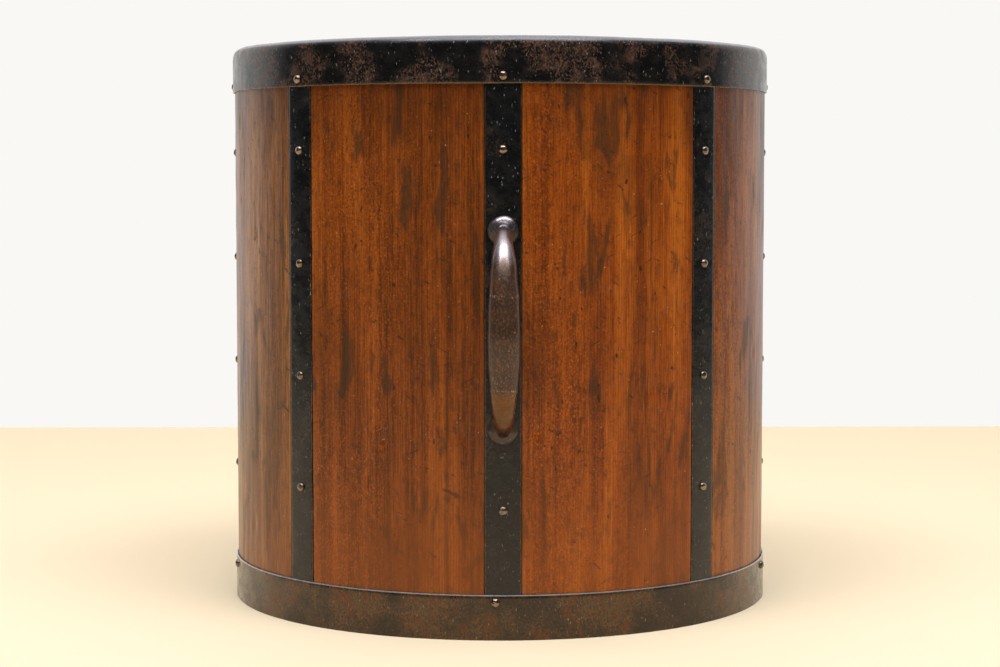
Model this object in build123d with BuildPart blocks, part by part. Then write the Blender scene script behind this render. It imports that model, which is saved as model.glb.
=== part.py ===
from build123d import *
import os
from math import cos, degrees, radians, sin, sqrt

# A round iron-bound tub of eight wide staves, with two upright bow handles.
# Millimetres. +Z is up, and the origin is the centre of the foot, at ground level.
# Angles start at the front (-Y) and run counter-clockwise as seen from above.

# Driving dimensions: the vessel
outside_diameter = 310.0  # over the hoops
overall_height = 316.0
wall_thickness = 11.9
stave_count = 8
joint_offset = 6.5  # from the middle of a strap to the joint it covers, clear of its rivets

# The base, a disc of boards whose tongue sits in a groove round the wall
base_thickness = 15.0
base_lift = 17.0  # clear height under the base
tongue_height = 9.0
groove_depth = 3.0
base_board_count = 4
base_side_gap = 0.3

# Iron: one gauge for the hoop and the rim, a heavier one for the straps
hoop_gauge = 0.9
hoop_height = 24.0
hoop_seam = 0.4
rim_skirt = 25.0  # from the top of the rim down to its lower edge, inside and outside
strap_thickness = 1.4
strap_proud = 0.2  # of the wood beside it
strap_gap = 0.4  # between a strap and the side of its groove
strap_edge_radius = 0.3
handle_strap_width = 19.2
plain_strap_width = 17.6
strap_foot = 3.0
strap_end_lap = 12.0  # a strap's end above the rim's lower edge

# Strap and rim rivets, closed over roves inside the tub
rivet_head_radius = 2.5
rivet_head_height = 1.9
rivet_shank_radius = 1.3
rivet_tail_radius = 2.0
rivet_tail_height = 0.9
rove_radius = 3.4
rove_thickness = 0.8
plain_strap_rivets = 4
top_rivet_drop = 34.0  # below the rim's lower edge
low_rivet_rise = 51.0  # above the hoop's top edge
handle_strap_low_rise = 44.5
rim_rivet_rise = 4.0  # above the rim's lower edge

# Nails of the bottom hoop
nail_length = 7.5
nail_point = 2.0
nail_drop = 4.0  # below the hoop's top edge
hoop_nail_angles = (-78.0, -1.5, 75.0, 137.0, 220.0)
seam_nail_offset = 5.5  # each side of the hoop's seam, at the back

# Wooden pegs, between staves and between base boards
peg_radius = 2.5
peg_length = 24.0
base_peg_spacing = 110.0

# Handles
handle_raise = 5.5  # of its middle above halfway between the hoop and the rim
handle_spacing = 103.7  # between its roses
handle_reach = 34.0  # from the strap to the middle line of the grip
grip_radius = 8.1
grip_flatness = 0.82  # depth of the grip against its width
leg_radius = 3.5
grip_swell = 0.75  # power of its taper: lower keeps it full nearer its ends
bow_stations = 12
rose_radius = 8.1
rose_height = 4.8
rose_edge = 0.8
stud_radius = 3.0
stud_tail_radius = 4.5
stud_tail_height = 1.6
stud_rove_radius = 7.0
stud_rove_thickness = 1.5

# Derived radii and heights
outside_radius = outside_diameter / 2
strap_outer = outside_radius - hoop_gauge
strap_inner = strap_outer - strap_thickness
stave_outer = strap_outer - strap_proud
stave_inner = stave_outer - wall_thickness
wall_middle = (stave_outer + stave_inner) / 2
rim_inner = stave_inner - hoop_gauge
rim_roll = (outside_radius - rim_inner) / 2
rim_centre = (outside_radius + rim_inner) / 2
roll_height = overall_height - rim_roll
rim_edge = overall_height - rim_skirt
strap_top = rim_edge + strap_end_lap
handle_height = (hoop_height + rim_edge) / 2 + handle_raise
base_top = base_lift + base_thickness
tongue_foot = base_top - tongue_height
base_radius = stave_inner + groove_depth
strap_step = 360 / stave_count
joint_turn = degrees(joint_offset / stave_outer)
rove_seat = sqrt(stave_inner**2 - rove_radius**2)
rim_tail_seat = sqrt(rim_inner**2 - rivet_tail_radius**2)
stud_rove_seat = sqrt(stave_inner**2 - stud_rove_radius**2)
through_depth = 2 * wall_thickness  # a drill from outside the wall to inside it

strap_names = (
    "front",
    "front_right",
    "right",
    "back_right",
    "back",
    "back_left",
    "left",
    "front_left",
)
handle_angles = {"front": 0.0, "back": 180.0}


def radial_plane(angle, height, distance):
    """A plane facing outwards, its X along the wall and its Y up."""
    turn = radians(angle)
    return Plane(
        origin=(distance * sin(turn), -distance * cos(turn), height),
        x_dir=(cos(turn), sin(turn), 0),
        z_dir=(sin(turn), -cos(turn), 0),
    )


def side_plane(angle):
    """An upright plane through the tub's axis, its X outwards and its Y up."""
    turn = radians(angle)
    return Plane(
        origin=(0, 0, 0),
        x_dir=(sin(turn), -cos(turn), 0),
        z_dir=(-cos(turn), -sin(turn), 0),
    )


def strap_width(angle):
    """The straps under the handles are the wider ones."""
    if angle in handle_angles.values():
        return handle_strap_width
    return plain_strap_width


def strap_rivet_heights(angle):
    """Heights of the rivets in the strap at this angle, apart from the rim's."""
    highest = rim_edge - top_rivet_drop
    if angle in handle_angles.values():
        return [highest, hoop_height + handle_strap_low_rise]
    lowest = hoop_height + low_rivet_rise
    pitch = (highest - lowest) / (plain_strap_rivets - 1)
    return [lowest + pitch * row for row in range(plain_strap_rivets)]


def stud_heights():
    """Heights of a handle's lower and upper end."""
    return [handle_height - handle_spacing / 2, handle_height + handle_spacing / 2]


def peg_heights(angle):
    """A peg halfway between the strap's two lowest fastenings, and one between its two highest."""
    heights = strap_rivet_heights(angle)
    if angle in handle_angles.values():
        heights = heights + stud_heights()
    heights.sort()
    return [(heights[0] + heights[1]) / 2, (heights[-2] + heights[-1]) / 2]


def label_and_write(part, name):
    """One STEP file for each node."""
    part.label = name
    export_step(part, f"parts/{name}.step")


def turned(outline):
    """A round piece about its own Z, from a closed outline of points and arcs on XZ."""
    with BuildPart() as piece:
        with BuildSketch(Plane.XZ):
            with BuildLine():
                outline()
            make_face()
        revolve(axis=Axis.Z)
    return piece.part


os.makedirs("parts", exist_ok=True)

# Places of everything that goes through the wall
strap_angles = [strap_step * number for number in range(stave_count)]
strap_rivet_places = [
    radial_plane(angle, height, strap_outer)
    for angle in strap_angles
    for height in strap_rivet_heights(angle)
]
rim_rivet_places = [
    radial_plane(angle, rim_edge + rim_rivet_rise, outside_radius) for angle in strap_angles
]
stud_places = [
    radial_plane(angle, height, strap_outer)
    for angle in handle_angles.values()
    for height in stud_heights()
]
seam_turn = degrees(seam_nail_offset / outside_radius)
nail_places = [
    radial_plane(angle, hoop_height - nail_drop, outside_radius)
    for angle in (*hoop_nail_angles, 180 - seam_turn, 180 + seam_turn)
]
joint_angles = [angle + joint_turn for angle in strap_angles]
stave_peg_places = [
    Plane(
        origin=radial_plane(angle + joint_turn, height, wall_middle).origin,
        z_dir=radial_plane(angle + joint_turn, 0, 0).x_dir,
    )
    for angle in strap_angles
    for height in peg_heights(angle)
]

# Straps: bars bent to the wall, let into grooves over the joints
strap_bodies = {}
for name, angle in zip(strap_names, strap_angles):
    with BuildPart() as strap:
        with BuildSketch(Plane.XY.offset(strap_foot)):
            Circle(strap_outer)
            Circle(strap_inner, mode=Mode.SUBTRACT)
        extrude(amount=strap_top - strap_foot)
        with BuildSketch(radial_plane(angle, overall_height / 2, 0)):
            Rectangle(strap_width(angle), overall_height)
        extrude(amount=outside_radius, mode=Mode.INTERSECT)
        outer_edges = strap.edges().filter_by(Axis.Z).sort_by(
            lambda edge: edge.center().X ** 2 + edge.center().Y ** 2
        )[-2:]
        fillet(outer_edges, strap_edge_radius)
        with Locations(*strap_rivet_places, *rim_rivet_places):
            Hole(rivet_shank_radius, depth=through_depth)
        with Locations(*stud_places):
            Hole(stud_radius, depth=through_depth)
        with Locations(*nail_places):
            Hole(rivet_shank_radius, depth=nail_length)
    label_and_write(strap.part, f"strap_{name}")

# The wall, turned as one ring with every groove and hole, then cut at the joints into staves
with BuildPart() as strap_grooves:
    with BuildSketch(Plane.XY.offset(strap_foot)):
        Circle(outside_radius)
        Circle(strap_inner, mode=Mode.SUBTRACT)
    extrude(amount=strap_top - strap_foot)
    with BuildSketch(Plane.XY.offset(strap_foot)):
        for angle in strap_angles:
            with Locations(Location((0, 0, 0), (0, 0, angle))):
                Rectangle(
                    strap_width(angle) + 2 * strap_gap,
                    outside_radius,
                    align=(Align.CENTER, Align.MAX),
                )
    extrude(amount=strap_top - strap_foot, mode=Mode.INTERSECT)

with BuildPart() as wall:
    with BuildSketch(Plane.XZ):
        with BuildLine():
            Polyline(
                (stave_inner, roll_height),
                (stave_inner, base_top),
                (base_radius, base_top),
                (base_radius, tongue_foot),
                (stave_inner, tongue_foot),
                (stave_inner, 0),
                (stave_outer, 0),
                (stave_outer, roll_height),
            )
            ThreePointArc(
                (stave_outer, roll_height),
                (wall_middle, roll_height + wall_thickness / 2),
                (stave_inner, roll_height),
            )
        make_face()
    revolve(axis=Axis.Z)
    add(strap_grooves.part, mode=Mode.SUBTRACT)
    with Locations(*strap_rivet_places, *rim_rivet_places):
        Hole(rivet_shank_radius, depth=through_depth)
    with Locations(*stud_places):
        Hole(stud_radius, depth=through_depth)
    with Locations(*nail_places):
        Hole(rivet_shank_radius, depth=nail_length)
    with Locations(*stave_peg_places):
        Cylinder(peg_radius, peg_length, mode=Mode.SUBTRACT)

for number, (start, end) in enumerate(
    zip(joint_angles, joint_angles[1:] + joint_angles[:1]), start=1
):
    with BuildPart() as stave:
        add(wall.part)
        split(bisect_by=Plane(origin=(0, 0, 0), z_dir=radial_plane(start, 0, 0).x_dir))
        split(
            bisect_by=Plane(origin=(0, 0, 0), z_dir=radial_plane(end, 0, 0).x_dir),
            keep=Keep.BOTTOM,
        )
    label_and_write(stave.part, f"stave_{number}")

with BuildPart() as stave_pegs:
    with Locations(*stave_peg_places):
        Cylinder(peg_radius, peg_length)
label_and_write(stave_pegs.part, "stave_pegs")

# The base: a tongued disc, cut into boards that run from front to back
board_width = 2 * base_radius / base_board_count
board_joints = [board_width * number - base_radius for number in range(1, base_board_count)]
base_peg_places = [
    Plane(origin=(x, y, base_lift + base_thickness / 2), z_dir=(1, 0, 0))
    for x in board_joints
    for y in (-base_peg_spacing / 2, base_peg_spacing / 2)
]
with BuildPart() as base:
    with BuildSketch(Plane.XY.offset(base_lift)):
        Circle(stave_inner - base_side_gap)
    extrude(amount=base_thickness)
    with BuildSketch(Plane.XY.offset(tongue_foot)):
        Circle(base_radius)
    extrude(amount=tongue_height)
    with Locations(*base_peg_places):
        Cylinder(peg_radius, peg_length, mode=Mode.SUBTRACT)

for number in range(1, base_board_count + 1):
    with BuildPart() as base_board:
        add(base.part)
        if number > 1:
            split(bisect_by=Plane.YZ.offset(board_joints[number - 2]))
        if number < base_board_count:
            split(bisect_by=Plane.YZ.offset(board_joints[number - 1]), keep=Keep.BOTTOM)
    label_and_write(base_board.part, f"base_board_{number}")

with BuildPart() as base_pegs:
    with Locations(*base_peg_places):
        Cylinder(peg_radius, peg_length)
label_and_write(base_pegs.part, "base_pegs")

# The rim: one sheet folded over the stave ends in a half-round roll
with BuildPart() as top_rim:
    with BuildSketch(Plane.XZ):
        with Locations((rim_centre, roll_height)):
            Circle(rim_roll)
            Circle(rim_roll - hoop_gauge, mode=Mode.SUBTRACT)
            Rectangle(
                2 * rim_roll, rim_roll, align=(Align.CENTER, Align.MAX), mode=Mode.SUBTRACT
            )
        for inner_face in (rim_inner, strap_outer):
            with Locations((inner_face, roll_height)):
                Rectangle(hoop_gauge, roll_height - rim_edge, align=(Align.MIN, Align.MAX))
    revolve(axis=Axis.Z)
    with Locations(*rim_rivet_places):
        Hole(rivet_shank_radius, depth=through_depth)
label_and_write(top_rim.part, "top_rim")

# The bottom hoop, its ends meeting over the back strap
with BuildPart() as bottom_hoop:
    with BuildSketch(Plane.XY):
        Circle(outside_radius)
        Circle(strap_outer, mode=Mode.SUBTRACT)
        with Locations((0, outside_radius)):
            Rectangle(hoop_seam, outside_radius, mode=Mode.SUBTRACT)
    extrude(amount=hoop_height)
    with Locations(*nail_places):
        Hole(rivet_shank_radius, depth=nail_length)
label_and_write(bottom_hoop.part, "bottom_hoop")


# Rivets, roves and nails, each turned about the line of its hole
def rivet(grip):
    def outline():
        tail = -grip - rivet_tail_height
        TangentArc((0, rivet_head_height), (rivet_head_radius, 0), tangent=(1, 0))
        Polyline(
            (rivet_head_radius, 0),
            (rivet_shank_radius, 0),
            (rivet_shank_radius, -grip),
            (rivet_tail_radius, -grip),
        )
        TangentArc((0, tail), (rivet_tail_radius, -grip), tangent=(1, 0))
        Line((0, tail), (0, rivet_head_height))

    return turned(outline)


def rove(radius, bore, thickness):
    with BuildPart() as washer:
        Cylinder(radius, thickness, align=(Align.CENTER, Align.CENTER, Align.MAX))
        Hole(bore)
    return washer.part


def hoop_nail():
    def outline():
        TangentArc((0, rivet_head_height), (rivet_head_radius, 0), tangent=(1, 0))
        Polyline(
            (rivet_head_radius, 0),
            (rivet_shank_radius, 0),
            (rivet_shank_radius, nail_point - nail_length),
            (0, -nail_length),
            (0, rivet_head_height),
        )

    return turned(outline)


with BuildPart() as strap_rivets:
    with Locations(*strap_rivet_places):
        add(rivet(strap_outer - rove_seat + rove_thickness))
label_and_write(strap_rivets.part, "strap_rivets")

with BuildPart() as rivet_roves:
    with Locations(
        *[
            radial_plane(angle, height, rove_seat)
            for angle in strap_angles
            for height in strap_rivet_heights(angle)
        ]
    ):
        add(rove(rove_radius, rivet_shank_radius, rove_thickness))
label_and_write(rivet_roves.part, "rivet_roves")

with BuildPart() as rim_rivets:
    with Locations(*rim_rivet_places):
        add(rivet(outside_radius - rim_tail_seat))
label_and_write(rim_rivets.part, "rim_rivets")

with BuildPart() as hoop_nails:
    with Locations(*nail_places):
        add(hoop_nail())
label_and_write(hoop_nails.part, "hoop_nails")


# Handles: a bow with a leg and a stud at each end, on domed roses, closed over roves inside
def rose():
    def outline():
        Polyline((leg_radius, rose_height), (stud_radius, rose_height), (stud_radius, 0))
        Polyline((stud_radius, 0), (rose_radius, 0), (rose_radius, rose_edge))
        TangentArc((leg_radius, rose_height), (rose_radius, rose_edge), tangent=(1, 0))

    return turned(outline)


def stud(grip):
    def outline():
        tail = -grip - stud_tail_height
        Polyline(
            (0, rose_height),
            (stud_radius, rose_height),
            (stud_radius, -grip),
            (stud_tail_radius, -grip),
        )
        TangentArc((0, tail), (stud_tail_radius, -grip), tangent=(1, 0))
        Line((0, tail), (0, rose_height))

    return turned(outline)


def bow_section(height):
    """The grip's half-width and half-depth at this height of its middle line."""
    share = 2 * (height - handle_height) / handle_spacing
    swell = max(0, 1 - share**2) ** grip_swell
    half_width = leg_radius + (grip_radius - leg_radius) * swell
    half_depth = leg_radius + (grip_radius * grip_flatness - leg_radius) * swell
    return half_width, half_depth


low, high = stud_heights()
root = strap_outer + rose_height
pull = root + (handle_reach - rose_height) * 4 / 3  # a cubic reaches 3/4 of the way to it
for side, angle in handle_angles.items():
    with BuildLine(side_plane(angle)) as bow:
        Bezier((root, low), (pull, low), (pull, high), (root, high))
    with BuildPart() as handle:
        for station in range(bow_stations + 1):
            share = station / bow_stations
            place = bow.line @ share
            half_width, half_depth = bow_section(place.Z)
            with BuildSketch(
                Plane(origin=place, x_dir=radial_plane(angle, 0, 0).x_dir, z_dir=bow.line % share)
            ):
                Ellipse(half_width, half_depth)
        loft()
        with Locations(*[radial_plane(angle, height, strap_outer) for height in (low, high)]):
            add(stud(strap_outer - stud_rove_seat + stud_rove_thickness))
    label_and_write(handle.part, f"{side}_handle")

    with BuildPart() as handle_roses:
        with Locations(*[radial_plane(angle, height, strap_outer) for height in (low, high)]):
            add(rose())
    label_and_write(handle_roses.part, f"{side}_handle_roses")

    with BuildPart() as handle_roves:
        with Locations(
            *[radial_plane(angle, height, stud_rove_seat) for height in (low, high)]
        ):
            add(rove(stud_rove_radius, stud_radius, stud_rove_thickness))
    label_and_write(handle_roves.part, f"{side}_handle_roves")
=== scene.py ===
# %% [markdown]
# # An iron-bound tub, finished
# The frame gives the tub at its real size: eight wide staves, straps over their joints, a folded
# rim, a foot hoop and two bow handles. This lesson gives it the look of a tub that has been used
# and waxed for a century. Everything is in metres, +Z is up, and the front handle faces -Y.

# %% Load the frame
import random
from math import atan2, copysign, cos, degrees, hypot, pi, radians, sin

import bmesh
import bpy
from mathutils import Euler, Matrix, Vector, noise


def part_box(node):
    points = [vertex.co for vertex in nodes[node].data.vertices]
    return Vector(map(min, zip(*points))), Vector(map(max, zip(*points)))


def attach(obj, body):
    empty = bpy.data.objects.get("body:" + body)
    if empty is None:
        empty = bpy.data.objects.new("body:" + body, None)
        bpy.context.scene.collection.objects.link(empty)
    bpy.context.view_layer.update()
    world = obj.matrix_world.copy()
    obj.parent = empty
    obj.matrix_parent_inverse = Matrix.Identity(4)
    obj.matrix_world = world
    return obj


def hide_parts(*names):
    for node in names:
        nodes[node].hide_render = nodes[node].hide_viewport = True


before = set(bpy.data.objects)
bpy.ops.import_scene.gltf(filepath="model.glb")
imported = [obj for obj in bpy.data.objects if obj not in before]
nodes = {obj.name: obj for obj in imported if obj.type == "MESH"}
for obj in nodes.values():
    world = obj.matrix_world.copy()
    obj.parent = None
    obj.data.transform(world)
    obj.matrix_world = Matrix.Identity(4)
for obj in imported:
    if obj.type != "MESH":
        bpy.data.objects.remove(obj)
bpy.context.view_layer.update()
print("nodes in the frame:", len(nodes))

# %% [markdown]
# ## Sizes to work from
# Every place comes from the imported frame. The hoop, the rim, a strap and a base board give the
# few radii and heights that the new pieces share. Gauges and gaps are usual ones for such work.

# %% Main sizes
MM = 0.001
NEAR = 0.01 * MM  # points this near to a plane count as on it
hoop_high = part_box("bottom_hoop")[1]
rim_low, rim_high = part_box("top_rim")
front_strap_low, front_strap_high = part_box("strap_front")
base_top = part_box("base_board_1")[1].z
outside = hoop_high.x  # radius over the hoops
hoop_height = hoop_high.z
rim_edge = rim_low.z  # height of the rim's lower edge
height = rim_high.z
hoop_gauge = 0.9 * MM
strap_gauge = 1.4 * MM
strap_proud = 0.2 * MM  # how far a strap stands out of the staves
wall_thickness = 11.9 * MM
strap_face = -front_strap_low.y  # radius of a strap's outer face
stave_face = strap_face - strap_proud
stave_back = stave_face - wall_thickness
print(f"outside radius {outside / MM:.1f} mm, height {height / MM:.1f} mm")

# %% [markdown]
# ## Helpers for materials
# Paint charts give colours as sRGB hex codes, but Blender's nodes work with linear light, so one
# function converts them. Another adds a node, sets its properties and fills its sockets with
# plain values or with other nodes, of which it takes the first output in use.


# %% Colour and node helpers
def linear(code):
    """The linear RGBA colour of an sRGB hex code such as 8b4a20."""
    channels = [int(code[i : i + 2], 16) / 255 for i in (0, 2, 4)]
    return (*[c / 12.92 if c <= 0.04045 else ((c + 0.055) / 1.055) ** 2.4 for c in channels], 1)


def add_node(tree, kind, sockets=None, stops=(), **settings):
    """Adds a node. A socket is filled from a value, a node, or one output of a node."""
    node = tree.nodes.new(kind)
    for name, value in settings.items():
        setattr(node, name, value)
    for name, value in (sockets or {}).items():
        usable = [socket for socket in node.inputs if socket.enabled and socket.name == name]
        socket = usable[0] if usable else node.inputs[name]
        if isinstance(value, bpy.types.Node):
            value = next(output for output in value.outputs if output.enabled)
        if isinstance(value, bpy.types.NodeSocket):
            tree.links.new(value, socket)
        else:
            socket.default_value = value
    for number, (place, code) in enumerate(stops):
        elements = node.color_ramp.elements
        stop = elements[number] if number < len(elements) else elements.new(place)
        stop.position, stop.color = place, linear(code)
    return node


def new_material(name):
    """An empty material, and its node tree."""
    material = bpy.data.materials.new(name)
    material.use_nodes = True
    material.node_tree.nodes.clear()
    return material, material.node_tree


# %% [markdown]
# ## Patterns with a real size
# Wood grain and rust can both be made from noise that is stretched. A Mapping node divides the
# Object coordinates by the pattern's size, so one blob of the noise is as wide, as deep and as
# tall as the numbers say in millimetres. Another one turns the pattern to face as a board faces,
# and a third leans it, for marks that cross the grain.


# %% Sized noise
def turned_place(tree, facing, tilt=0, lean=0):
    """Object coordinates turned to face this way: X is across, Y is deep and Z is up. Tilted
    by 90 degrees, Z runs along a board that lies flat. A lean turns X and Z on the face."""
    place = add_node(tree, "ShaderNodeTexCoord").outputs["Object"]
    turn = (radians(tilt), 0, -radians(facing))
    place = add_node(tree, "ShaderNodeMapping", {"Vector": place, "Rotation": turn})
    if lean:
        turn = (0, radians(lean), 0)
        place = add_node(tree, "ShaderNodeMapping", {"Vector": place, "Rotation": turn})
    return place


def sized_noise(tree, size, facing=0.0, seed=0.0, tilt=0, lean=0, **sockets):
    """Noise with blobs of this size in mm (across, deep, up), turned to face this way."""
    sized = add_node(
        tree,
        "ShaderNodeMapping",
        {
            "Vector": turned_place(tree, facing, tilt, lean),
            "Location": (seed, 2.3 * seed, 4.1 * seed),
            "Scale": [1 / (length * MM) for length in size],
        },
    )
    return add_node(tree, "ShaderNodeTexNoise", {"Vector": sized, "Scale": 1.0, **sockets})


def noises(tree, patterns, facing, seed, tilt=0):
    """A noise for each named pattern of (size in mm, settings), each with its own seed."""
    return {
        name: sized_noise(tree, size, facing, seed + number, tilt, **settings)
        for number, (name, (size, settings)) in enumerate(patterns.items())
    }


# %% [markdown]
# ## Colours from patterns
# A surface has a few tones of its own, and marks on top of them. The tones are a colour ramp over
# a weighted sum of patterns. The marks are layers, each laid on where its own pattern is strong,
# in the order in which they came to be: grain first, then dirt, then knocks and scratches.


# %% Tones and layers
def toned(tree, parts, places, colours):
    """A ramp of colours over patterns that are added together by their weights."""
    tone = 0.0
    for pattern, weight in parts:
        tone = add_node(
            tree, "ShaderNodeMath", {0: pattern, 1: weight, 2: tone}, operation="MULTIPLY_ADD"
        )
    return add_node(tree, "ShaderNodeValToRGB", {"Fac": tone}, stops=zip(places, colours))


def layered(tree, colour, layers):
    """Lays colours over one another. A layer starts where its pattern passes low, and is at its
    most where the pattern passes high. Its most is a share, or a pattern of its own."""
    for pattern, low, high, most, code in layers:
        mask = add_node(
            tree,
            "ShaderNodeMapRange",
            {"Value": pattern, "From Min": low, "From Max": high, "To Max": most},
            interpolation_type="SMOOTHSTEP",
        )
        colour = add_node(
            tree,
            "ShaderNodeMix",
            {"Factor": mask, "A": colour, "B": linear(code)},
            data_type="RGBA",
        )
    return colour


# %% [markdown]
# ## Waxed stave wood
# The staves are a straight-grained softwood, sawn, planed, stained red-brown and waxed for a
# century. What the eye gets from it: upright bands and growth lines, a zone of short bright flecks
# where the saw crossed the rays, dull smudges where dirt has gone into the wax, slanting scratches,
# small dark knocks, hairline cracks, and a gloss that only shows where the wall curves away. Two
# tables hold the patterns and the marks, so that a board is only a seed and four tones, and no two
# boards are alike.

# %% Patterns of the wood
# The size of each pattern's blobs in mm (across, deep, up along the grain), and its settings.
WOOD_PATTERNS = {
    "bands": ((13, 13, 210), {"Detail": 2.0, "Distortion": 0.2}),
    "fibres": ((1.6, 1.6, 150), {"Detail": 3.0}),
    "pores": ((0.5, 0.5, 9), {"Detail": 2.0}),
    "rays": ((30, 30, 110), {"Detail": 2.0}),
    "flecks": ((1.0, 1.0, 1.4), {"Detail": 3.0, "Roughness": 0.8}),
    "smudges": ((11, 11, 48), {"Detail": 4.0, "Roughness": 0.55, "Distortion": 0.5}),
    "knocks": ((4, 4, 7), {"Detail": 2.0}),
    "cracks": ((0.9, 0.9, 34), {"Detail": 1.0}),
    "scratches": ((12, 12, 1.4), {"lean": 27, "Detail": 3.0}),
    "nick_glints": ((1.3, 1.3, 1.7), {"Detail": 1.0}),
    "dirt": ((5, 5, 9), {"Detail": 6.0, "Roughness": 0.75}),
    "clouds": ((48, 48, 100), {"Detail": 3.0, "Roughness": 0.6}),
    "streaks": ((9, 9, 150), {"Detail": 5.0, "Roughness": 0.6, "Distortion": 0.3}),
    "scuffs": ((9, 9, 2.6), {"lean": -32, "Detail": 4.0, "Roughness": 0.6, "Distortion": 0.5}),
}
# What lies on the grain: pattern, where it starts, where it is full, its most, and its colour.
WOOD_MARKS = (
    ("clouds", 0.48, 0.66, 0.42, "43240f"),
    ("dirt", 0.50, 0.72, 0.62, "38220f"),
    ("streaks", 0.58, 0.68, 0.60, "38240f"),
    ("smudges", 0.57, 0.66, 0.62, "352716"),
    ("scuffs", 0.64, 0.69, 0.75, "2b241c"),
    ("knocks", 0.70, 0.76, 0.80, "20160e"),
    ("cracks", 0.75, 0.79, 0.85, "1c110a"),
    ("scratches", 0.68, 0.73, 0.65, "2f2319"),
    # The pale nick marks are painted glints, where small dents catch the light.
    ("nick_glints", 0.77, 0.81, 0.80, "c9a27c"),
)

# %% Growth lines
RING_SPACING = 1.5  # mm; many real growth lines are closer, which wouldn't show
RING_WANDER = (9, 90)  # mm; how deep and how far up a line goes before it wanders
WAVE_OF_ONE = 2 * pi / 20  # the Wave Texture's scale at which its bands are one unit apart


def growth_lines(tree, facing, seed, tilt):
    """Upright lines that wander a little, as the growth rings of a board do."""
    place = add_node(
        tree,
        "ShaderNodeMapping",
        {
            "Vector": turned_place(tree, facing, tilt),
            "Location": (seed, 0, 0),
            "Scale": [1 / (length * MM) for length in (RING_SPACING, *RING_WANDER)],
        },
    )
    return add_node(
        tree,
        "ShaderNodeTexWave",
        {
            "Vector": place,
            "Scale": WAVE_OF_ONE,
            "Distortion": 2.2,
            "Detail": 3.0,
            "Detail Scale": 1.6,
        },
        bands_direction="X",
    )


# %% Wood
EDGE_RUB = 2.5 * MM  # width of the rubbed edge beside a strap
# Under the rim the wood is darker, partly as dirt and partly as painted shade.
RIM_DIRT_AND_SHADE = 45 * MM  # how far down from the rim the wood is darker
# Above the hoop the wood is lighter: painted bounce light from the floor.
PAINTED_FLOOR_BOUNCE = 90 * MM  # how far up from the hoop the wood is lighter


def waxed_wood(name, facing, seed, bands, flecks_most, half_face=None, tilt=0):
    """Softwood, stained or bare by its bands, from the darkest band of the grain to the lightest.
    A stave's half face is how far its straps are from its middle: its edges there are rubbed,
    its left side shows the rays, it is darker under the rim, partly from dirt and partly from
    painted shade, and lighter above the hoop, from painted bounce light of the floor."""
    material, tree = new_material(name)
    seen = noises(tree, WOOD_PATTERNS, facing, seed, tilt)
    parts = ((seen["bands"], 0.45), (seen["fibres"], 0.25), (seen["pores"], 0.3))
    colour = toned(tree, parts, (0.40, 0.47, 0.53, 0.60), bands)
    board = add_node(tree, "ShaderNodeSeparateXYZ", {0: turned_place(tree, facing)}).outputs
    rays = seen["rays"]
    if half_face:
        rays = add_node(
            tree,
            "ShaderNodeMath",
            {0: board["X"], 1: -0.30 / half_face, 2: rays},
            operation="MULTIPLY_ADD",
        )
    ray_zone = add_node(
        tree,
        "ShaderNodeMapRange",
        {
            "Value": rays,
            "From Min": 0.46,
            "From Max": 0.72,
            "To Min": 0.35 * flecks_most,
            "To Max": flecks_most,
        },
    )
    plain_zone = add_node(
        tree,
        "ShaderNodeMapRange",
        {"Value": ray_zone, "From Max": flecks_most, "To Min": 0.4, "To Max": 0.1},
    )
    layers = [
        (growth_lines(tree, facing, seed, tilt), 0.45, 1.0, plain_zone, "42200a"),
        (seen["flecks"], 0.53, 0.66, ray_zone, "c46a22"),
        (seen["flecks"], 0.46, 0.34, ray_zone, "38210e"),
        *[(seen[mark], *rest) for mark, *rest in WOOD_MARKS],
    ]
    if half_face:
        side = add_node(tree, "ShaderNodeMath", {0: board["X"]}, operation="ABSOLUTE")
        layers.insert(0, (side, half_face - EDGE_RUB, half_face, 0.45, "ad5c1e"))
        # Darker under the rim: partly dirt, partly painted shade.
        layers.append((board["Z"], rim_edge - RIM_DIRT_AND_SHADE, rim_edge, 0.36, "3a1d0d"))
        # Lighter above the hoop: painted bounce light from the floor.
        layers.append((board["Z"], hoop_height + PAINTED_FLOOR_BOUNCE, hoop_height, 0.3, "a5581a"))
    colour = layered(tree, colour, layers)
    gloss = add_node(
        tree,
        "ShaderNodeMapRange",
        {
            "Value": seen["smudges"],
            "From Min": 0.4,
            "From Max": 0.7,
            "To Min": 0.28,
            "To Max": 0.4,
        },
    )
    relief = add_node(
        tree,
        "ShaderNodeMath",
        {0: seen["knocks"], 1: -1.5, 2: seen["pores"]},
        operation="MULTIPLY_ADD",
    )
    bump = add_node(tree, "ShaderNodeBump", {"Height": relief, "Distance": 0.08 * MM})
    shader = add_node(
        tree,
        "ShaderNodeBsdfPrincipled",
        {
            "Base Color": colour,
            "Roughness": gloss,
            "Normal": bump,
            "Specular IOR Level": 0.2,
            "Coat Weight": 0.1,
            "Coat Roughness": 0.2,
        },
    )
    add_node(tree, "ShaderNodeOutputMaterial", {"Surface": shader})
    return material


# %% [markdown]
# ## Iron
# All the iron is forged or rolled black, then oiled or waxed. Its scale makes it nearly black, with
# a gloss like that of a dark varnish: it mirrors little from straight ahead and much at a glancing
# angle. That is how a dielectric behaves, so straps and rim aren't metallic here. Where feet, hands
# and floors have rubbed the skin off, the metal shows: the foot hoop and the edges of the straps
# are partly metallic, and grips, roses and rivet heads nearly wholly. Rust comes through in patches
# of a few millimetres. One function makes every finish from two skin tones, two rust tones and
# bands by height of painted highlight, painted reflection and painted shade.

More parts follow.
